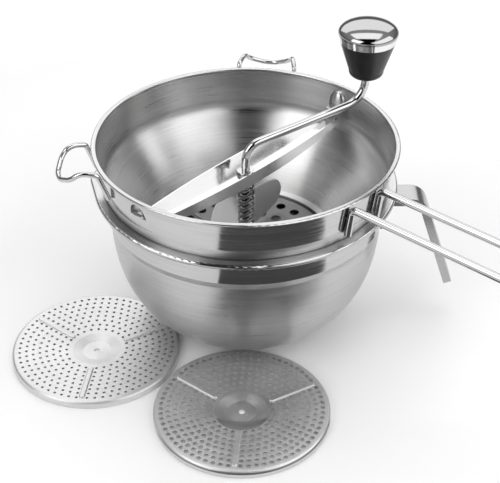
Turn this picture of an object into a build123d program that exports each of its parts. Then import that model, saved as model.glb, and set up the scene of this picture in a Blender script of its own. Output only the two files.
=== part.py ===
from build123d import *
from math import acos, asin, cos, degrees, floor, pi, radians, sin, sqrt
import os

# Rotary food mill seated on its collecting bowl, with two spare discs lying beside it.
# Millimetres. Origin at the centre of the bowl's base, +Z up, pouring lip towards -X, bowl handle
# towards +X. The mill is drawn with z = 0 at its own rim and then lifted by RIM_Z.

os.makedirs("parts", exist_ok=True)

# --- bowl -----------------------------------------------------------------------------------------
RIM_R = 120.0            # outer radius of the bowl's rim and of the hopper's rim
SHEET = 0.8              # sheet steel thickness
BOWL_H = 131.0
BOWL_BASE_R = 41.2
BAND_TOP_R = 112.5       # polished band under the rim
BAND_LOW_R = 111.5
BAND_DEPTH = 22.4        # rim to the foot of the band
STEP_DEPTH = 29.0        # rim to the foot of the sloping step
BODY_R = 108.5
BOWL_RIM_H = 4.0
LIP_TIP_R = 123.8        # reach of the pouring lip

# --- bowl handle ----------------------------------------------------------------------------------
GRIP_HALF_W = 11.0
GRIP_DEPTH = 6.5         # depth of the pressed channel
GRIP_SHEET = 1.3
GRIP_TOP_Z = BOWL_H - 14.3
GRIP_CORNER_X = 143.0    # where the level and the sloping top faces would meet
GRIP_LEAN = 18.8         # slope of the lower part, degrees from vertical
GRIP_LENGTH = 90.5
GRIP_BEND = 16.0
LUG_Y = 10.0
LUG_HALF_W = 3.5
LUG_LOW_Z = BOWL_H - 41.0
RIVET_Z = BOWL_H - 36.0
RIVET_R = 1.95

# --- hopper, heights measured from its own rim ------------------------------------------------------
SEAT_DEPTH = 35.9        # hopper rim above bowl rim when seated
HOP_BAND_TOP_R = 117.0
HOP_BAND_LOW_R = 113.3
HOP_BAND_DEPTH = 27.0
HOP_FOOT_R = 73.5
HOP_FOOT_DEPTH = 91.5
COLLAR_R = 69.5          # straight collar that holds the disc
COLLAR_DEPTH = 101.5
OUTLET_R = 60.5
HOP_RIM_W = 4.2
HOP_RIM_T = 2.4
TAB_AZ = 47.0            # the pressed tabs and the cross bar lie on this diameter
TAB_CUT = -16.9          # height of the straight lower edge of each tab
TAB_REACH = 114.3
TAB_SIZE = (5.5, 8.8, 13.2)  # half sizes of a tab: inwards, sideways, upwards

# --- wires ------------------------------------------------------------------------------------------
HANDLE_AZ = -42.0
HANDLE_WIRE_R = 3.0
HANDLE_HALF_W = 17.0
HANDLE_END = 335.0
HANDLE_Z = -5.7          # the wire leaves the band just under the rim
HOOK_WIRE_R = 2.0
HOOK_AZ = {"left_hook": 196.6, "back_hook": 81.4}
HOOK_HALF_W = 23.7

# --- cross bar --------------------------------------------------------------------------------------
BAR_TOP = -22.5
BAR_MID_LOW = -33.2
BAR_END_LOW = -28.0
BAR_HALF_L = 106.0
BAR_HALF_W = 14.6
BAR_END_HALF_W = 8.0
BAR_SHEET = 1.2
TONGUE_HALF_W = 5.5
FOOT_TOP = -17.2
FOOT_END = 111.2

# --- shaft, spring and blade --------------------------------------------------------------------------
ROD_R = 3.3
PIN_R = 2.4              # turned-down end that centres the disc
PIN_END = -106.0
RUN_FIT = 0.06           # radial clearance of a running fit
FIXED_FIT = 0.03
CRANK_AZ = 26.0
CRANK_REACH = 106.3
ARM_LOW = -7.9           # where the arm's line would meet the shaft
ARM_HIGH = 8.9
SPINDLE_TOP = 64.5
WASHER_R = 7.5
WASHER_T = 1.0
BUSH_TOP = -30.5
BUSH_LOW = -34.4
CROSS_PIN_R = 1.1
CROSS_PIN_Z = -27.6
CROSS_PIN_HALF_L = 7.0
SPRING_TOP = -35.6
SPRING_LOW = -79.3
SPRING_R = 5.8
SPRING_WIRE_R = 1.0
SPRING_PITCH = 5.9
HUB_R = 7.0
HUB_TOP = -80.45
HUB_LOW = -99.4
BLADE_AZ = 53.0
BLADE_TILT = 18.0        # from vertical
BLADE_T = 1.5
BLADE_Z = -72.0          # where the blade's plane crosses the shaft

# --- knob ---------------------------------------------------------------------------------------------
KNOB_LOW = 30.0
SLEEVE_R = 5.45
SLEEVE_TOP = 62.0
GRIP_TOP = 64.0
CAP_LOW = 60.5
CAP_EDGE = 67.2
CAP_TOP = 76.0
CAP_R = 23.6
CAP_BORE_R = 20.2
GRIP_LOW_R = 13.9
GRIP_TOP_R = 21.9

# --- discs, heights measured from the top face at the rim --------------------------------------------
DISC_R = 68.0
DISC_SKIRT = 6.0
DISC_FLOOR = 5.0         # depth of the sunken hub
DISC_SEAT = -COLLAR_DEPTH + SHEET + 0.1 + DISC_SKIRT
DISC_BORE_R = 2.5
CONE_R = (22.0, 64.0)
CONE_DROP = 3.0
RIB_HALF_W = 2.2
RIB_H = 1.1
COARSE_R = 4.0
COARSE_RINGS = ((23.2, 3), (39.8, 6), (55.8, 8))   # ring radius, holes between two ribs
SPARE_AT = {"fine_disc": (135.0, -154.5), "medium_disc": (131.0, -91.5)}   # reach, azimuth

RIM_Z = BOWL_H + SEAT_DEPTH
MILL = Pos(0, 0, RIM_Z)


def save(name, shape):
    export_step(shape, f"parts/{name}.step")


def turned(*edges):
    """Solid of revolution about Z from an outline drawn as (radius, height)."""
    return revolve(Plane.XZ * make_face(Curve() + list(edges)), Axis.Z)


def turned_points(*points):
    return turned(Polyline(*points, close=True))


def tube(r_out, r_in, low, high):
    return Pos(0, 0, low) * extrude(Circle(r_out) - Circle(r_in), high - low)


def washer(r_out, r_in, low):
    return tube(r_out, r_in, low, low + WASHER_T)


def wire(points, radius, bends):
    path = FilletPolyline(*points, radius=bends)
    return sweep(path.location_at(0) * Circle(radius), path=path)


def side_plate(outline, half_w):
    """Extrude a face drawn as (x, z) to both sides of y = 0."""
    return extrude(Plane.XZ * outline, half_w, both=True)


def bowed(half_w, end_half_w, half_l):
    """Plan outline of the cross bar: widest at the middle, with bowed long sides."""
    near = ThreePointArc((-half_l, -end_half_w), (0, -half_w), (half_l, -end_half_w))
    far = ThreePointArc((half_l, end_half_w), (0, half_w), (-half_l, end_half_w))
    right = Line((half_l, -end_half_w), (half_l, end_half_w))
    left = Line((-half_l, end_half_w), (-half_l, -end_half_w))
    return make_face(Curve() + [near, right, far, left])


# ====================================================================================================
# Bowl
# ====================================================================================================
def beak(radius, tip):
    """Triangle from two tangent points of a circle to the tip of the pouring lip."""
    turn = acos(radius / tip)
    side = (-radius * cos(turn), radius * sin(turn))
    return make_face(Polyline(side, (-tip, 0), (side[0], -side[1]), close=True))


def lip_wedge(radius, low_radius, tip, top_z):
    """Solid of the lip, from its full reach at the top to nothing at the foot of the band."""
    top = beak(radius, tip)
    low = beak(radius, tip).scale(low_radius / tip)
    return loft([Pos(0, 0, BOWL_H - BAND_DEPTH) * low, Pos(0, 0, top_z) * top])


def bowl_body(inset, floor_z, top_z):
    """Solid of revolution inside the bowl's outline, inset for the sheet thickness."""
    step = BOWL_H - STEP_DEPTH
    wall = Bezier(
        (BOWL_BASE_R, floor_z),
        (89.8 - 0.6 * inset, 12.7 + 0.9 * inset),
        (BODY_R - inset, step - 52),
        (BODY_R - inset, step),
    )
    band = Polyline(
        (BODY_R - inset, step),
        (BAND_LOW_R - inset, BOWL_H - BAND_DEPTH),
        (BAND_TOP_R - inset, top_z),
        (0, top_z),
        (0, floor_z),
        (BOWL_BASE_R, floor_z),
    )
    return turned(wall, band)


def rivet_sites():
    turn = degrees(asin(LUG_Y / BODY_R))
    return [Rot(0, 0, side * turn) * Pos(0, 0, RIVET_Z) * Rot(0, 90, 0) for side in (-1, 1)]


def make_bowl_shell():
    plate = Circle(RIM_R) + beak(RIM_R, LIP_TIP_R)
    tip = plate.vertices().sort_by(Axis.X)[0]
    rim = Pos(0, 0, BOWL_H - BOWL_RIM_H) * extrude(fillet(tip, 12), BOWL_RIM_H)
    rim = fillet(rim.edges(), BOWL_RIM_H / 2 - 0.15)
    shell = bowl_body(0, 0, BOWL_H - 1) + rim
    shell += lip_wedge(BAND_TOP_R, BAND_LOW_R - 0.2, LIP_TIP_R - 6.8, BOWL_H - 1)
    shell -= bowl_body(SHEET, SHEET + 0.1, BOWL_H + 1)
    shell -= lip_wedge(BAND_TOP_R - SHEET, BAND_LOW_R - 1.1, LIP_TIP_R - 7.7, BOWL_H + 1)
    for site in rivet_sites():
        shell -= site * Pos(0, 0, BODY_R) * Cylinder(RIVET_R + 0.05, 20)
    return shell


def grip_line(depth):
    """Corner points of the handle's side view, at a depth below its top face."""
    lean = radians(GRIP_LEAN)
    shift = depth * cos(lean) / (1 + sin(lean))
    corner = (GRIP_CORNER_X - shift, GRIP_TOP_Z - depth)
    end = (
        GRIP_CORNER_X + GRIP_LENGTH * sin(lean) - depth * cos(lean),
        GRIP_TOP_Z - GRIP_LENGTH * cos(lean) - depth * sin(lean),
    )
    return (BODY_R - 4, GRIP_TOP_Z - depth), corner, end


def grip_block(top_depth, low_depth, half_w, end_trim, corner_r):
    start, corner, end = grip_line(top_depth)
    low_start, low_corner, low_end = grip_line(low_depth)
    upper = FilletPolyline(start, corner, end, radius=GRIP_BEND - top_depth)
    lower = FilletPolyline(low_end, low_corner, low_start, radius=GRIP_BEND - low_depth)
    outline = make_face(Curve() + [upper, Line(end, low_end), lower, Line(low_start, start)])
    block = side_plate(outline, half_w)
    if end_trim > 0:
        lean = radians(GRIP_LEAN)
        plane = Plane(origin=(end[0], 0, end[1]), z_dir=(sin(lean), 0, -cos(lean)))
        block -= plane * Pos(0, 0, 5 - end_trim) * Box(60, 60, 10)
    short = low_depth - top_depth + 0.01
    ends = [edge for edge in block.edges().sort_by(Axis.Z)[:6] if edge.length < short]
    corners = [edge for edge in ends if abs(abs(edge.center().Y) - half_w) < 0.01]
    return fillet(corners, corner_r)


def make_bowl_handle():
    sheet = GRIP_SHEET
    step = BOWL_H - STEP_DEPTH
    channel = grip_block(0, GRIP_DEPTH, GRIP_HALF_W, 0, 8)
    channel -= grip_block(sheet, GRIP_DEPTH + 2, GRIP_HALF_W - sheet, sheet, 8 - sheet)
    strap = turned_points(
        (BODY_R, LUG_LOW_Z),
        (BODY_R + 2.2, LUG_LOW_Z),
        (BODY_R + 2.2, step + 0.5),
        (BAND_LOW_R + 2.2, BOWL_H - BAND_DEPTH + 0.5),
        (BAND_LOW_R + 2.2, GRIP_TOP_Z),
        (BODY_R, GRIP_TOP_Z),
    )
    lug = Pos(BODY_R, LUG_Y, BOWL_H - 25) * Box(30, 2 * LUG_HALF_W, 60)
    lugs = strap & (lug + mirror(lug, Plane.XZ))
    handle = channel + lugs
    gap = turned(
        Bezier((BOWL_BASE_R, 0), (89.95, 12.7), (BODY_R + 0.15, 50), (BODY_R + 0.15, step)),
        Polyline(
            (BODY_R + 0.15, step),
            (BAND_LOW_R + 0.15, BOWL_H - BAND_DEPTH),
            (BAND_TOP_R + 0.15, BOWL_H),
            (0, BOWL_H),
            (0, 0),
            (BOWL_BASE_R, 0),
        ),
    )
    handle -= gap
    for site in rivet_sites():
        handle -= site * Pos(0, 0, BODY_R) * Cylinder(RIVET_R + 0.05, 20)
    return handle


def make_bowl_rivets():
    outer = BODY_R + 2.3
    inner = BODY_R - SHEET - 0.3
    rivet = turned(
        Polyline((0, inner - 0.9), (2.8, inner - 0.9), (3.2, inner - 0.5), (3.2, inner)),
        Polyline((3.2, inner), (RIVET_R, inner), (RIVET_R, outer), (3.9, outer)),
        Bezier((3.9, outer), (3.4, outer + 1.9), (1.6, outer + 1.9), (0, outer + 1.9)),
        Line((0, outer + 1.9), (0, inner - 0.9)),
    )
    return Compound(children=[site * rivet for site in rivet_sites()])


# ====================================================================================================
# Hopper
# ====================================================================================================
def hopper_solid(inset):
    """Solid of revolution inside the hopper's wall, down to the top of the collar."""
    wall = Bezier(
        (HOP_BAND_LOW_R - inset, -HOP_BAND_DEPTH),
        (HOP_BAND_LOW_R - inset, -42 + 0.5 * inset),
        (102.5 - 0.9 * inset, -40 + 0.5 * inset),
        (HOP_FOOT_R - 0.9 * inset, -HOP_FOOT_DEPTH + 0.5 * inset),
    )
    rest = Polyline(
        (HOP_FOOT_R - 0.9 * inset, -HOP_FOOT_DEPTH + 0.5 * inset),
        (COLLAR_R - inset, -HOP_FOOT_DEPTH - 2 + 0.6 * inset),
        (COLLAR_R - inset, -COLLAR_DEPTH + inset),
        (0, -COLLAR_DEPTH + inset),
        (0, -1.2),
        (HOP_BAND_TOP_R - inset, -1.2),
        (HOP_BAND_LOW_R - inset, -HOP_BAND_DEPTH),
    )
    return turned(wall, rest)


def tab_solid(inset):
    half = [size - inset for size in TAB_SIZE]
    ball = scale(Sphere(1), by=(half[0], half[1], half[2]))
    upper = Pos(0, 0, 20) * Box(60, 60, 40)
    return Pos(TAB_REACH, 0, TAB_CUT) * (ball & upper)


def make_hopper_shell():
    outer = hopper_solid(0)
    shell = outer - hopper_solid(SHEET)
    shell -= Pos(0, 0, -COLLAR_DEPTH) * Cylinder(OUTLET_R, 4)
    ring = RectangleRounded(HOP_RIM_W, HOP_RIM_T, HOP_RIM_T / 2 - 0.05)
    rim = revolve(Plane.XZ * Pos(HOP_BAND_TOP_R + 0.9, -HOP_RIM_T / 2) * ring, Axis.Z)
    for turn in (TAB_AZ, TAB_AZ + 180):
        bulge = Rot(0, 0, turn) * tab_solid(0)
        hollow = Rot(0, 0, turn) * tab_solid(SHEET)
        shell -= bulge
        shell += (bulge & outer) - hollow
    return shell + rim


def make_long_handle():
    def end(side):
        return [(115.3, side, -29), (118.4, side, HANDLE_Z), (HANDLE_END, side, HANDLE_Z)]

    points = end(HANDLE_HALF_W) + end(-HANDLE_HALF_W)[::-1]
    bend = HANDLE_HALF_W - 0.1
    return Rot(0, 0, HANDLE_AZ) * wire(points, HANDLE_WIRE_R, [4.6, bend, bend, 4.6])


def make_hook(turn):
    def outward(reach, side):
        return sqrt(reach**2 - side**2)

    half = [
        (outward(116.35, HOOK_HALF_W), HOOK_HALF_W, -20),
        (outward(123.5, HOOK_HALF_W), HOOK_HALF_W, 1.4),
        (133.4, 20.9, 4.3),
        (140.5, 18.7, -1.8),
        (146.7, 5.3, -8.1),
    ]
    other = [(x, -y, z) for x, y, z in half[::-1]]
    bends = [4, 12, 14, 14]
    return Rot(0, 0, turn) * wire(half + other, HOOK_WIRE_R, bends + bends[::-1])


# ====================================================================================================
# Cross bar
# ====================================================================================================
def bar_side(middle, end, top):
    arc = ThreePointArc((-BAR_HALF_L, end), (0, middle), (BAR_HALF_L, end))
    box = Polyline((BAR_HALF_L, end), (BAR_HALF_L, top), (-BAR_HALF_L, top), (-BAR_HALF_L, end))
    return make_face(Curve() + [arc, box])


def make_bridge_bar():
    sheet = BAR_SHEET
    outer = side_plate(bar_side(BAR_MID_LOW, BAR_END_LOW, BAR_TOP), 30)
    outer &= Pos(0, 0, -50) * extrude(bowed(BAR_HALF_W, BAR_END_HALF_W, BAR_HALF_L), 50)
    inner = side_plate(bar_side(BAR_MID_LOW + sheet, BAR_END_LOW + sheet, 0), 30)
    inner &= Pos(0, 0, -50) * extrude(bowed(BAR_HALF_W - sheet, BAR_END_HALF_W - sheet, BAR_HALF_L), 60)
    bar = outer - inner
    bar -= Pos(0, 0, BAR_MID_LOW) * Cylinder(5.0, 10)
    root = BAR_HALF_L - 2
    bent = FilletPolyline(
        (root, BAR_END_LOW + 0.1), (root, FOOT_TOP), (FOOT_END, FOOT_TOP), radius=2.2
    )
    under, inner = FOOT_TOP - 1.4, root + 1.4
    inside = FilletPolyline((FOOT_END, under), (inner, under), (inner, BAR_END_LOW + 0.1), radius=0.8)
    caps = [Line(bent @ 1, inside @ 0), Line(inside @ 1, bent @ 0)]
    tongue = side_plate(make_face(Curve() + [bent, inside] + caps), TONGUE_HALF_W)
    bar += tongue + Rot(0, 0, 180) * tongue
    return Rot(0, 0, TAB_AZ) * bar


def make_bridge_bushing():
    bore = ROD_R + RUN_FIT
    return turned_points(
        (bore, BUSH_LOW),
        (WASHER_R, BUSH_LOW),
        (WASHER_R, BAR_MID_LOW - 0.05),
        (4.95, BAR_MID_LOW - 0.05),
        (4.95, BAR_MID_LOW + BAR_SHEET + 0.1),
        (WASHER_R, BAR_MID_LOW + BAR_SHEET + 0.1),
        (WASHER_R - 0.6, BUSH_TOP),
        (bore, BUSH_TOP),
    )


# ====================================================================================================
# Crank, spring and blade
# ====================================================================================================
def make_spring():
    height = SPRING_TOP - SPRING_LOW
    coil = Helix(pitch=SPRING_PITCH, height=height, radius=SPRING_R)
    body = sweep(coil.location_at(0) * Circle(SPRING_WIRE_R), path=coil)
    inside = Pos(0, 0, height / 2) * Cylinder(20, height)
    return Pos(0, 0, SPRING_LOW) * (body & inside)


def make_crank_rod():
    turn = radians(CRANK_AZ)
    top = (CRANK_REACH, 0, SPINDLE_TOP)
    points = [(0, 0, HUB_LOW), (0, 0, ARM_LOW), (CRANK_REACH, 0, ARM_HIGH), top]
    rod = wire(points, ROD_R, [14, 20])
    rod = chamfer(rod.faces().sort_by(Axis.Z)[-1].edges(), 0.6)
    pin = Pos(0, 0, (HUB_LOW + PIN_END) / 2) * Cylinder(PIN_R, HUB_LOW - PIN_END)
    rod += chamfer(pin.edges().sort_by(Axis.Z)[0], 0.8)
    rod -= Pos(0, 0, CROSS_PIN_Z) * Rot(90, 0, 0) * Cylinder(CROSS_PIN_R + FIXED_FIT, 20)
    return Rot(0, 0, CRANK_AZ) * rod


def make_cross_pin():
    pin = chamfer(Cylinder(CROSS_PIN_R, 2 * CROSS_PIN_HALF_L).edges(), 0.3)
    return Rot(0, 0, CRANK_AZ) * Pos(0, 0, CROSS_PIN_Z) * Rot(90, 0, 0) * pin


def make_blade():
    tilt = radians(BLADE_TILT)
    plane = Plane(origin=(0, 0, BLADE_Z), x_dir=(1, 0, 0), z_dir=(0, -cos(tilt), -sin(tilt)))
    top = Bezier((-1.9, 32.5), (14, 29.5), (27, 27), (35, 19))
    side = Bezier((35, 19), (44, 10), (50, 0), (49, -11))
    low = Bezier((49, -11), (47.5, -18), (38, -18), (24, -22.5))
    foot = Polyline((24, -22.5), (6, -23.6), (1.5, -22), (1.5, -10.6), (9.5, -8), (11.5, 0), (-1.9, 32.5))
    face = make_face(Curve() + [top, side, low, foot])
    wing = extrude(plane * face, BLADE_T / 2, both=True)
    core = Pos(0, 0, (HUB_TOP + HUB_LOW) / 2) * Cylinder(HUB_R + FIXED_FIT, 60)
    wing -= core
    seat_low = HUB_TOP - 0.15
    wing -= Pos(0, 0, seat_low + 30) * Cylinder(WASHER_R + 0.5, 60)
    wing = wing.solids().sort_by(SortBy.VOLUME)[-1]
    return Rot(0, 0, BLADE_AZ) * Compound(children=[wing, Rot(0, 0, 180) * wing])


# ====================================================================================================
# Knob
# ====================================================================================================
def make_knob_grip():
    bore = SLEEVE_R + FIXED_FIT
    neck = CAP_BORE_R - 0.2
    shoulder = CAP_LOW - 0.3
    corner = KNOB_LOW + 5.5
    return turned(
        Polyline((bore, SLEEVE_TOP), (bore, KNOB_LOW), (9.6, KNOB_LOW)),
        ThreePointArc((9.6, KNOB_LOW), (12.7, KNOB_LOW + 1.8), (GRIP_LOW_R, corner)),
        Polyline((GRIP_LOW_R, corner), (GRIP_TOP_R, shoulder), (neck, shoulder), (neck, GRIP_TOP)),
        Polyline((neck, GRIP_TOP), (8, GRIP_TOP), (8, SLEEVE_TOP), (bore, SLEEVE_TOP)),
    )


def make_knob_cap():
    bore = CAP_BORE_R
    inner_top = CAP_TOP - 1
    return turned(
        Polyline((bore, CAP_EDGE - 1.5), (bore, CAP_LOW), (CAP_R - 1.3, CAP_LOW), (CAP_R, CAP_EDGE)),
        Bezier((CAP_R, CAP_EDGE), (CAP_R, CAP_EDGE + 4), (15, CAP_TOP), (0, CAP_TOP)),
        Line((0, CAP_TOP), (0, inner_top)),
        Bezier((0, inner_top), (13, inner_top), (bore, CAP_EDGE + 3.5), (bore, CAP_EDGE - 1.5)),
    )


# ====================================================================================================
# Discs
# ====================================================================================================
def disc_profile():
    inner, outer = CONE_R
    sheet = SHEET
    top = Polyline(
        (DISC_BORE_R, -DISC_FLOOR),
        (11.3, -DISC_FLOOR),
        (19.7, -CONE_DROP - 0.2),
        (inner, -CONE_DROP),
        (outer, 0),
        (DISC_R - 2, 0),
    )
    edge = ThreePointArc((DISC_R - 2, 0), (DISC_R - 0.6, -0.6), (DISC_R, -2))
    inner_r = DISC_R - sheet
    skirt = Polyline((DISC_R, -2), (DISC_R, -DISC_SKIRT), (inner_r, -DISC_SKIRT), (inner_r, -2))
    inside = ThreePointArc((inner_r, -2), (DISC_R - 1.15, -1.15), (DISC_R - 2, -sheet))
    low = Polyline(
        (DISC_R - 2, -sheet),
        (outer, -sheet),
        (inner, -CONE_DROP - sheet),
        (20.0, -CONE_DROP - 0.2 - sheet),
        (11.6, -DISC_FLOOR - sheet),
        (DISC_BORE_R, -DISC_FLOOR - sheet),
        (DISC_BORE_R, -DISC_FLOOR),
    )
    return turned(top, edge, skirt, inside, low)


def sector_angles(radius, count, margin):
    """Angles of evenly spaced holes between two ribs, keeping a margin from each rib."""
    clear = degrees(asin(margin / radius))
    step = (120 - 2 * clear) / (count - 1)
    return [clear + step * i for i in range(count)]


def holes(rings, hole_r, margin):
    cutters = []
    for radius, count in rings:
        for sector in range(3):
            for angle in sector_angles(radius, count, margin):
                spot = Rot(0, 0, 120 * sector + angle) * Pos(radius, 0, -2)
                cutters.append(spot * Cylinder(hole_r, 8))
    return cutters


def even_rings(first, last, rows, pitch, margin):
    rings = []
    for row in range(rows):
        radius = first + (last - first) * row / (rows - 1)
        usable = 2 * pi * radius / 3 - 2 * margin
        rings.append((radius, max(3, floor(usable / pitch) + 1)))
    return rings


def rib(turn):
    """Raised pad with rounded ends lying along the cone, from near the hub to near the rim."""
    inner, outer = CONE_R
    run = outer - inner
    slope = Plane(
        origin=((inner + outer) / 2, 0, -CONE_DROP / 2 - 0.4),
        x_dir=(run, 0, CONE_DROP),
        z_dir=(-CONE_DROP, 0, run),
    )
    pad = extrude(SlotOverall(run - 3, 2 * RIB_HALF_W), RIB_H + 0.4)
    pad = fillet(pad.edges().group_by(Axis.Z)[-1], RIB_H - 0.25)
    return Rot(0, 0, turn) * (slope * pad)


def make_disc(rings, hole_r, margin):
    disc = disc_profile() - holes(rings, hole_r, margin)
    for turn in (0, 120, 240):
        disc += rib(turn)
    return disc


def spare(name, disc):
    reach, turn = SPARE_AT[name]
    return Rot(0, 0, turn) * Pos(reach, 0, DISC_SKIRT) * Rot(0, 0, 25 - turn) * disc


# ====================================================================================================
# Parts
# ====================================================================================================
save("bowl_shell", make_bowl_shell())
save("bowl_handle", make_bowl_handle())
save("bowl_handle_rivets", make_bowl_rivets())

save("hopper_shell", MILL * make_hopper_shell())
save("long_handle", MILL * make_long_handle())
for hook, azimuth in HOOK_AZ.items():
    save(hook, MILL * make_hook(azimuth))

save("bridge_bar", MILL * make_bridge_bar())
save("bridge_bushing", MILL * make_bridge_bushing())
save("upper_spring_washer", MILL * washer(WASHER_R, ROD_R + RUN_FIT, SPRING_TOP + 0.1))
save("lower_spring_washer", MILL * washer(WASHER_R, ROD_R + RUN_FIT, SPRING_LOW - 0.1 - WASHER_T))
save("spring", MILL * make_spring())

save("crank_rod", MILL * make_crank_rod())
save("cross_pin", MILL * make_cross_pin())
save("retaining_washer", MILL * washer(WASHER_R - 0.5, ROD_R + FIXED_FIT, BUSH_TOP + 0.6))
save("blade", MILL * make_blade())
save("blade_hub", MILL * tube(HUB_R, ROD_R + FIXED_FIT, HUB_LOW, HUB_TOP))

KNOB = MILL * Rot(0, 0, CRANK_AZ) * Pos(CRANK_REACH, 0, 0)
save("knob_grip", KNOB * make_knob_grip())
save("knob_sleeve", KNOB * tube(SLEEVE_R, ROD_R + RUN_FIT, KNOB_LOW, SLEEVE_TOP))
save("knob_cap", KNOB * make_knob_cap())
save("knob_retainer", KNOB * tube(6.5, ROD_R + FIXED_FIT, SLEEVE_TOP + 0.2, SLEEVE_TOP + 1.4))

coarse = make_disc(COARSE_RINGS, COARSE_R, RIB_HALF_W + COARSE_R + 1.2)
save("coarse_disc", MILL * Rot(0, 0, 20) * Pos(0, 0, DISC_SEAT) * coarse)
medium = make_disc(even_rings(24.5, 62, 8, 5.6, 4.6), 1.75, 4.6)
save("medium_disc", spare("medium_disc", medium))
fine = make_disc(even_rings(24.5, 62, 8, 6.0, 4.2), 1.15, 4.2)
save("fine_disc", spare("fine_disc", fine))
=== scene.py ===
from math import atan, cos, pi, radians, sin

import bpy
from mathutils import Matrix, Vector


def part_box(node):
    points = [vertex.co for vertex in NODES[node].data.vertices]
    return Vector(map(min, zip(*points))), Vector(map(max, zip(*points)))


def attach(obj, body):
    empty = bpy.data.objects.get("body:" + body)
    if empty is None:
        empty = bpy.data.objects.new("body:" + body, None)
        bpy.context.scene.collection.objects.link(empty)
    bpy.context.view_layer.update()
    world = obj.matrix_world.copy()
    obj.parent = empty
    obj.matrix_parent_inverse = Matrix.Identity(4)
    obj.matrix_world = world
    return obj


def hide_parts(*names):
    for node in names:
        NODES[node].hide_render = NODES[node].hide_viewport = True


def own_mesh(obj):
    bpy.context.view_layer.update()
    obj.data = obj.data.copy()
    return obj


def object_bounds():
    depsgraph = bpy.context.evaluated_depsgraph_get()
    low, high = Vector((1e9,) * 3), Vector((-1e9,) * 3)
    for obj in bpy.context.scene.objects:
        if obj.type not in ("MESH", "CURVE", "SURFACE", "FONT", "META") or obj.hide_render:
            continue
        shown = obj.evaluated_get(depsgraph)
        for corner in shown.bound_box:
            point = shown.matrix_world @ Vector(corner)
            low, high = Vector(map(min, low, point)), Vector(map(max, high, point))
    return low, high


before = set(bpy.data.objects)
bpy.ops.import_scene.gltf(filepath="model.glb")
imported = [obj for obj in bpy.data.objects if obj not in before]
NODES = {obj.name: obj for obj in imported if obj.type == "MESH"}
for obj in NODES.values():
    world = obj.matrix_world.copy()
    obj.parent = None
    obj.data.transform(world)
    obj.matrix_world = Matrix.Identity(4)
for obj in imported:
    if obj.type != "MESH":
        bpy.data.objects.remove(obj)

# Food mill on its collecting bowl: materials for the CAD nodes, a spring attached to its seat's body, a
# pale floor, soft studio lights and the camera. Metres, in the imported frame.

CAD_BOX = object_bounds()
SCENE = bpy.context.scene
MM = 0.001

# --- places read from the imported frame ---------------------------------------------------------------
RIM_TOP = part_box("hopper_shell")[1].z
BOWL_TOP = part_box("bowl_shell")[1].z
CAP_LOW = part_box("knob_cap")[0].z
FLOOR_Z = CAD_BOX[0].z - 0.2 * MM

# --- finishes ----------------------------------------------------------------------------------------
BAR_AZ = radians(47)               # the brushing on the cross bar runs along it
BOWL_BAND_DEPTH = 22.6 * MM        # polished band, from the bowl's rim down
BOWL_RIM_H = 4.2 * MM
HOPPER_RIM_H = 3.0 * MM
HOPPER_BAND_DEPTH = 27.0 * MM
HOPPER_BAND_R = (113.3 * MM, 116.6 * MM)  # outside radius at the band's foot and under the rim
SHEET_HALF = 0.4 * MM
CAP_BAND_H = 5.2 * MM              # foot band of the knob's cap, kept at the chrome's bright tone; the dome above it is painted darker as shade
BAND_ROUGH = 0.10
SKIN_ROUGH = 0.12
RIM_ROUGH = 0.20
# painted shade: darker tone for the dome of the chrome cap
CAP_DOME_SHADED_TONE = 0.42
# painted shade: the disc mounted down in the hopper gets a darker tone than the loose discs of the same
# steel
MOUNTED_DISC_SHADED_TONE, LOOSE_DISC_TONE = 0.34, 0.78

# --- brush marks -------------------------------------------------------------------------------------
FINE_SCALE, BROAD_SCALE = 800.0, 90.0    # across the brushing, per metre
FINE_TURN, BROAD_TURN = 1.6, 1.2         # round the axis, per unit circle
ALONG_SCALE, ACROSS_SCALE = 12.0, 1400.0
BRUSH_BUMP, PLAIN_BUMP = 0.05, 0.03
BUMP_DEPTH = 0.00001
QUARTER_TURN = 0.25                      # spreads reflections across the brush marks

# --- room --------------------------------------------------------------------------------------------
SKY_LOW, SKY_HIGH = 0.12, 0.50
FLOOR_SIZE = 60.0
FLOOR_FADE = (0.5, 2.4)                  # the floor turns white between these distances
TARGET = Vector((0, 0, RIM_TOP))

# name: azimuth from the camera's side, elevation, distance, width, height, watts
SOFTBOXES = {
    "key_left": (-52, 34, 1.6, 1.1, 1.3, 10),
    "key_right": (62, 34, 1.6, 2.5, 1.3, 17),
    "back": (180, 34, 1.7, 2.2, 1.0, 9),
    "top": (180, 78, 1.6, 1.6, 0.9, 7),
}
# name: width, height, place, turn about X, brightness
CARDS = {
    "flag_floor": (0.26, 0.86, (0.062, -0.57, 0.003), 0, 0.09),
    "flag_front": (2.5, 2.1, (0.05, -1.9, 1.3), pi / 2, 0.0),
    "flag_top": (1.1, 1.5, (0.05, -0.85, 1.75), 0, 0.0),
}

# --- camera ------------------------------------------------------------------------------------------
VIEW_ELEVATION = radians(30.4)
VIEW_REACH = 0.930
FOCAL_PX = 1193.0
FRAME_W, FRAME_H = 500, 483
TARGET_AT = (245.0, 138.0)               # where the hopper's rim centre falls in the frame
SENSOR_W = 36.0


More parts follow.
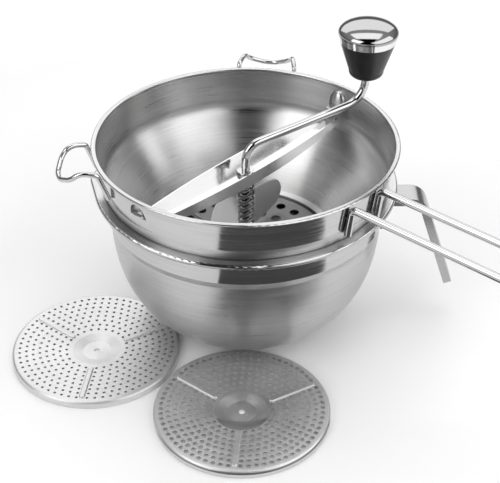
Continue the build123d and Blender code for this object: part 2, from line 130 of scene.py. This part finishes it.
# =====================================================================================================
# Node graph helpers
# =====================================================================================================
class Graph:
    """Short-hand for building a material's node tree."""

    def __init__(self, name):
        self.mat = bpy.data.materials.new(name)
        self.mat.use_nodes = True
        self.tree = self.mat.node_tree
        self.shader = self.tree.nodes["Principled BSDF"]

    def node(self, kind, **settings):
        made = self.tree.nodes.new(kind)
        for key, value in settings.items():
            setattr(made, key, value)
        return made

    def link(self, source, target):
        self.tree.links.new(source, target)

    def feed(self, target, value):
        if isinstance(value, bpy.types.NodeSocket):
            self.link(value, target)
        else:
            target.default_value = value

    def fix(self, **values):
        """Sets constants on the shader's own sockets, with _ for a space in the socket's name."""
        for name, value in values.items():
            self.shader.inputs[name.replace("_", " ")].default_value = value

    def shade(self, **sources):
        """Links textures to the shader's sockets, with _ for a space in the socket's name."""
        for name, source in sources.items():
            self.link(source, self.shader.inputs[name.replace("_", " ")])

    def math(self, operation, *values):
        made = self.node("ShaderNodeMath", operation=operation)
        for socket, value in zip(made.inputs, values):
            self.feed(socket, value)
        return made.outputs[0]

    def position(self):
        """Object coordinates, whole and split into x, y and z, in metres."""
        coords = self.node("ShaderNodeTexCoord")
        split = self.node("ShaderNodeSeparateXYZ")
        self.link(coords.outputs["Object"], split.inputs[0])
        return coords.outputs["Object"], split.outputs

    def combine(self, x, y, z):
        made = self.node("ShaderNodeCombineXYZ")
        for socket, value in zip(made.inputs, (x, y, z)):
            self.feed(socket, value)
        return made.outputs[0]

    def noise(self, vector, scale, detail=3.0, rough=0.55, w=None):
        made = self.node("ShaderNodeTexNoise", noise_dimensions="3D" if w is None else "4D")
        self.link(vector, made.inputs["Vector"])
        made.inputs["Scale"].default_value = scale
        made.inputs["Detail"].default_value = detail
        made.inputs["Roughness"].default_value = rough
        if w is not None:
            self.feed(made.inputs["W"], w)
        return made.outputs["Fac"]

    def spread(self, value, low, high, from_low=0.3, from_high=0.7):
        """Maps from_low..from_high, by default the usual span of a noise, to low..high."""
        made = self.node("ShaderNodeMapRange")
        self.link(value, made.inputs["Value"])
        made.inputs["From Min"].default_value = from_low
        made.inputs["From Max"].default_value = from_high
        made.inputs["To Min"].default_value = low
        made.inputs["To Max"].default_value = high
        return made.outputs["Result"]

    def mix(self, factor, first, second):
        made = self.node("ShaderNodeMix", data_type="RGBA")
        self.feed(made.inputs["Factor"], factor)
        self.feed(made.inputs["A"], first)
        self.feed(made.inputs["B"], second)
        return made.outputs["Result"]

    def bump(self, height, strength, distance):
        made = self.node("ShaderNodeBump")
        made.inputs["Strength"].default_value = strength
        made.inputs["Distance"].default_value = distance
        self.link(height, made.inputs["Height"])
        return made.outputs["Normal"]

    def between(self, value, low, high):
        above = self.math("GREATER_THAN", value, low)
        below = self.math("LESS_THAN", value, high)
        return self.math("MULTIPLY", above, below)


def grey(value, warm=0.0):
    return (value + warm, value, value - warm, 1.0)


# =====================================================================================================
# Steel
# =====================================================================================================
def distance_from_axis(graph, east, north):
    squares = graph.math(
        "ADD", graph.math("MULTIPLY", east, east), graph.math("MULTIPLY", north, north)
    )
    return graph.math("MAXIMUM", graph.math("SQRT", squares), 0.5 * MM)


def round_marks(graph, east, north, reach, z, turn_scale, scale, detail):
    """Noise drawn out into rings round the vertical axis."""
    turn = graph.combine(
        graph.math("MULTIPLY", graph.math("DIVIDE", east, reach), turn_scale),
        graph.math("MULTIPLY", graph.math("DIVIDE", north, reach), turn_scale),
        graph.math("MULTIPLY", z, scale),
    )
    return graph.noise(turn, 1.0, detail, 0.6, w=graph.math("MULTIPLY", reach, scale))


def straight_marks(graph, x, y, z, lie):
    """Noise drawn out into lines along a level direction."""
    along = graph.math(
        "ADD", graph.math("MULTIPLY", x, cos(lie)), graph.math("MULTIPLY", y, sin(lie))
    )
    across = graph.math(
        "SUBTRACT", graph.math("MULTIPLY", y, cos(lie)), graph.math("MULTIPLY", x, sin(lie))
    )
    run = graph.combine(
        graph.math("MULTIPLY", along, ALONG_SCALE),
        graph.math("MULTIPLY", across, ACROSS_SCALE),
        graph.math("MULTIPLY", z, ACROSS_SCALE),
    )
    return graph.noise(run, 1.0, 3.0, 0.6)


def steel(
    name, tone, rough, brush="none", streak=0.05, aniso=0.0, centre=(0, 0), lie=0.0,
    belts=(), skin=None, dome=None,
):
    """Stainless steel, brushed round a vertical axis, along a level direction, or not at all.

    belts: (low z, high z, roughness), heights with another finish.
    skin: (low z, radius there, high z, radius there, roughness), polish on the outside of that cone only.
    dome: (z, tone), another tone above a height, used as painted shade on the dome of the knob's cap.
    """
    graph = Graph(name)
    graph.fix(Metallic=1.0, Anisotropic=aniso, Anisotropic_Rotation=QUARTER_TURN)
    coords, (x, y, z) = graph.position()
    if brush == "round":
        east = graph.math("SUBTRACT", x, centre[0])
        north = graph.math("SUBTRACT", y, centre[1])
        reach = distance_from_axis(graph, east, north)
        fine = round_marks(graph, east, north, reach, z, FINE_TURN, FINE_SCALE, 2.0)
        broad = round_marks(graph, east, north, reach, z, BROAD_TURN, BROAD_SCALE, 3.0)
    elif brush == "along":
        fine = straight_marks(graph, x, y, z, lie)
        broad = graph.noise(coords, 60.0, 3.0, 0.5)
    else:
        fine = graph.noise(coords, 900.0, 3.0, 0.6)
        broad = graph.noise(coords, 45.0, 3.0, 0.5)
    smudge = graph.noise(coords, 22.0, 4.0, 0.6)

    marks = graph.spread(fine, 0.0, 1.0)
    colour = graph.mix(marks, grey(tone - streak), grey(tone + 0.5 * streak))
    colour = graph.mix(graph.spread(broad, 0.0, 0.35), colour, grey(tone - 0.8 * streak, 0.004))
    # painted shade: above the foot, the same steel takes a darker tone
    if dome:
        foot, dome_shade_tone = dome
        above = graph.math("GREATER_THAN", z, foot)
        colour = graph.mix(above, colour, graph.mix(marks, grey(dome_shade_tone - streak), grey(dome_shade_tone)))

    roughness = graph.spread(fine, rough * 0.86, rough * 1.14)
    for low, high, value in belts:
        change = graph.math("MULTIPLY", graph.between(z, low, high), value - rough)
        roughness = graph.math("ADD", roughness, change)
    if skin:
        low, low_radius, high, high_radius, value = skin
        slope = (high_radius - low_radius) / (high - low)
        rise = graph.math("MULTIPLY", graph.math("SUBTRACT", z, low), slope)
        middle = graph.math("ADD", rise, low_radius - SHEET_HALF)
        outside = graph.math("GREATER_THAN", reach, middle)
        outside = graph.math("MULTIPLY", graph.between(z, low, high), outside)
        roughness = graph.math("ADD", roughness, graph.math("MULTIPLY", outside, value - rough))
    roughness = graph.math("ADD", roughness, graph.spread(smudge, -0.015, 0.03))

    bump = PLAIN_BUMP if brush == "none" else BRUSH_BUMP
    graph.shade(Base_Color=colour, Roughness=roughness, Normal=graph.bump(fine, bump, BUMP_DEPTH))
    if brush == "round":
        tangent = graph.node("ShaderNodeTangent", direction_type="RADIAL", axis="Z")
        graph.shade(Tangent=tangent.outputs[0])
    elif brush == "along":
        graph.shade(Tangent=graph.combine(cos(lie), sin(lie), 0.0))
    return graph.mat


def grip_plastic():
    graph = Graph("grip_black")
    coords, _ = graph.position()
    grain = graph.noise(coords, 2600.0, 2.0, 0.5)
    wide = graph.noise(coords, 160.0, 3.0, 0.5)
    dark, pale = (0.010, 0.010, 0.011, 1), (0.017, 0.017, 0.018, 1)
    graph.shade(
        Base_Color=graph.mix(graph.spread(wide, 0.0, 1.0), dark, pale),
        Roughness=graph.spread(wide, 0.30, 0.40),
        Normal=graph.bump(grain, 0.25, 0.03 * MM),
    )
    graph.fix(Specular_IOR_Level=0.45)
    return graph.mat


# =====================================================================================================
# Materials on the CAD nodes
# =====================================================================================================
def dress(piece, material):
    piece.data.materials.clear()
    piece.data.materials.append(material)


def dress_bowl():
    belts = [
        (BOWL_TOP - BOWL_BAND_DEPTH, BOWL_TOP - BOWL_RIM_H, BAND_ROUGH),
        (BOWL_TOP - BOWL_RIM_H, BOWL_TOP + MM, RIM_ROUGH),
    ]
    dress(NODES["bowl_shell"], steel("bowl_steel", 0.56, 0.30, "round", 0.07, 0.75, belts=belts))
    dress(NODES["bowl_handle"], steel("bowl_handle_steel", 0.46, 0.22, "along", 0.05, 0.5))
    dress(NODES["bowl_handle_rivets"], steel("rivet_steel", 0.62, 0.14, streak=0.03))


def dress_hopper():
    under_rim = RIM_TOP - HOPPER_RIM_H
    low_radius, high_radius = HOPPER_BAND_R
    finish = steel(
        "hopper_steel", 0.58, 0.30, "round", 0.08, 0.80,
        belts=[(under_rim, RIM_TOP + MM, RIM_ROUGH)],
        skin=(RIM_TOP - HOPPER_BAND_DEPTH, low_radius, under_rim, high_radius, SKIN_ROUGH),
    )
    dress(NODES["hopper_shell"], finish)


def dress_wires():
    finish = steel("wire_steel", 0.60, 0.10, streak=0.03)
    for name in ("long_handle", "left_hook", "back_hook", "crank_rod", "knob_sleeve"):
        dress(NODES[name], finish)


def dress_bar():
    dress(NODES["bridge_bar"], steel("bar_steel", 0.70, 0.13, "along", 0.03, 0.4, lie=BAR_AZ))


def dress_turned_parts():
    finish = steel("turned_steel", 0.58, 0.20)
    for name in (
        "bridge_bushing", "upper_spring_washer", "lower_spring_washer", "retaining_washer",
        "knob_retainer", "cross_pin", "blade_hub",
    ):
        dress(NODES[name], finish)


def dress_discs():
    for name in ("coarse_disc", "medium_disc", "fine_disc"):
        low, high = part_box(name)
        middle = (low + high) / 2
        # painted shade: the mounted disc takes the darker tone, the loose discs keep the steel's own tone
        tone = MOUNTED_DISC_SHADED_TONE if name == "coarse_disc" else LOOSE_DISC_TONE
        finish = steel(name + "_steel", tone, 0.46, "round", 0.07, 0.5, centre=(middle.x, middle.y))
        dress(NODES[name], finish)


def dress_knob():
    dress(NODES["knob_grip"], grip_plastic())
    # painted shade: the cap's dome is darker than its foot band
    dome = (CAP_LOW + CAP_BAND_H, CAP_DOME_SHADED_TONE)
    dress(NODES["knob_cap"], steel("cap_chrome", 0.85, 0.08, streak=0.02, dome=dome))


def spring_coil():
    """The spring, copied from the CAD node and attached whole to the spring seat's body."""
    coil = bpy.data.objects.new("spring_coil", NODES["spring"].data.copy())
    SCENE.collection.objects.link(coil)
    # painted shade: the spring's steel gets a very dark tone for the shade inside the hopper
    dress(coil, steel("spring_steel", 0.22, 0.16, streak=0.04))
    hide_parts("spring")
    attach(coil, "spring_seat")
    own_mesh(coil)


dress_bowl()
dress_hopper()
dress_wires()
dress_bar()
dress_turned_parts()
dress(NODES["blade"], steel("blade_steel", 0.90, 0.50, streak=0.06))
dress_discs()
spring_coil()
dress_knob()


# =====================================================================================================
# Floor, room and lights
# =====================================================================================================
def plane(name, size, place, turn=(0, 0, 0)):
    mesh = bpy.data.meshes.new(name)
    half = size / 2
    corners = [(-half, -half, 0), (half, -half, 0), (half, half, 0), (-half, half, 0)]
    mesh.from_pydata(corners, [], [(0, 1, 2, 3)])
    made = bpy.data.objects.new(name, mesh)
    made.location = place
    made.rotation_euler = turn
    SCENE.collection.objects.link(made)
    return made


def floor_paint():
    """Pale floor that fades to white far from the object, so that it has no horizon."""
    graph = Graph("floor_pale")
    coords, _ = graph.position()
    cloud = graph.noise(coords, 3.0, 3.0, 0.5)
    reach = graph.node("ShaderNodeVectorMath", operation="LENGTH")
    graph.link(coords, reach.inputs[0])
    far = graph.spread(reach.outputs["Value"], 0.0, 0.9, *FLOOR_FADE)
    seen = graph.node("ShaderNodeLightPath").outputs["Is Camera Ray"]
    graph.shade(
        Base_Color=graph.mix(graph.spread(cloud, 0.0, 1.0), grey(0.90), grey(0.93)),
        Emission_Strength=graph.math("MULTIPLY", far, seen),
    )
    graph.fix(Roughness=0.55, Emission_Color=(1, 1, 1, 1))
    return graph.mat


def studio_world():
    """Pale room: white where the camera looks past the floor, darker low down in reflections."""
    world = bpy.data.worlds.new("studio")
    SCENE.world = world
    world.use_nodes = True
    tree = world.node_tree
    background = tree.nodes["Background"]
    coords = tree.nodes.new("ShaderNodeTexCoord")
    split = tree.nodes.new("ShaderNodeSeparateXYZ")
    ramp = tree.nodes.new("ShaderNodeValToRGB")
    path = tree.nodes.new("ShaderNodeLightPath")
    mix = tree.nodes.new("ShaderNodeMix")
    mix.data_type = "RGBA"
    low, high = ramp.color_ramp.elements
    low.position, low.color = 0.0, grey(SKY_LOW)
    high.position, high.color = 0.9, grey(SKY_HIGH)
    mix.inputs["B"].default_value = (1, 1, 1, 1)
    background.inputs["Strength"].default_value = 1.0
    for source, target in (
        (coords.outputs["Generated"], split.inputs[0]),
        (split.outputs["Z"], ramp.inputs["Fac"]),
        (path.outputs["Is Camera Ray"], mix.inputs["Factor"]),
        (ramp.outputs["Color"], mix.inputs["A"]),
        (mix.outputs["Result"], background.inputs["Color"]),
    ):
        tree.links.new(source, target)


def softbox(name, azimuth, elevation, reach, width, height, power):
    """Area light that faces the target; azimuth 0 is the camera's side, -Y, and 90 is +X."""
    turn, lift = radians(azimuth), radians(elevation)
    away = Vector((sin(turn) * cos(lift), -cos(turn) * cos(lift), sin(lift)))
    data = bpy.data.lights.new(name, "AREA")
    data.shape = "RECTANGLE"
    data.size, data.size_y = width, height
    data.energy = power
    lamp = bpy.data.objects.new(name, data)
    lamp.location = TARGET + away * reach
    lamp.rotation_mode = "QUATERNION"
    lamp.rotation_quaternion = (-away).to_track_quat("-Z", "Y")
    lamp.visible_camera = False
    SCENE.collection.objects.link(lamp)


def card(name, width, height, place, tilt, value):
    """Studio card that shows only in reflections."""
    graph = Graph(name + "_paint")
    graph.fix(
        Base_Color=(0, 0, 0, 1), Specular_IOR_Level=0.0, Emission_Color=grey(value), Emission_Strength=1.0
    )
    made = plane(name, 1.0, place, (tilt, 0, 0))
    made.scale = (width, height, 1)
    made.data.materials.append(graph.mat)
    made.visible_camera = False
    made.visible_diffuse = False
    made.visible_shadow = False
    made.visible_transmission = False


floor = plane("floor", FLOOR_SIZE, (0, 0, FLOOR_Z))
floor.data.materials.append(floor_paint())
studio_world()
for name, setting in SOFTBOXES.items():
    softbox(name, *setting)
for name, setting in CARDS.items():
    card(name, *setting)


# =====================================================================================================
# Camera
# =====================================================================================================
def make_camera():
    data = bpy.data.cameras.new("camera")
    data.sensor_width = SENSOR_W
    data.lens = FOCAL_PX / FRAME_W * SENSOR_W
    data.clip_start, data.clip_end = 0.05, 100.0
    camera = bpy.data.objects.new("camera", data)
    SCENE.collection.objects.link(camera)
    away = Vector((0, -cos(VIEW_ELEVATION), sin(VIEW_ELEVATION)))
    camera.location = TARGET + away * VIEW_REACH
    drop = atan((FRAME_H / 2 - TARGET_AT[1]) / FOCAL_PX)
    yaw = atan((FRAME_W / 2 - TARGET_AT[0]) / FOCAL_PX)
    camera.rotation_euler = (pi / 2 - VIEW_ELEVATION - drop, 0, -yaw)
    SCENE.camera = camera


make_camera()
SCENE.view_settings.view_transform = "Standard"
SCENE.view_settings.look = "None"
SCENE.view_settings.exposure = 0.0
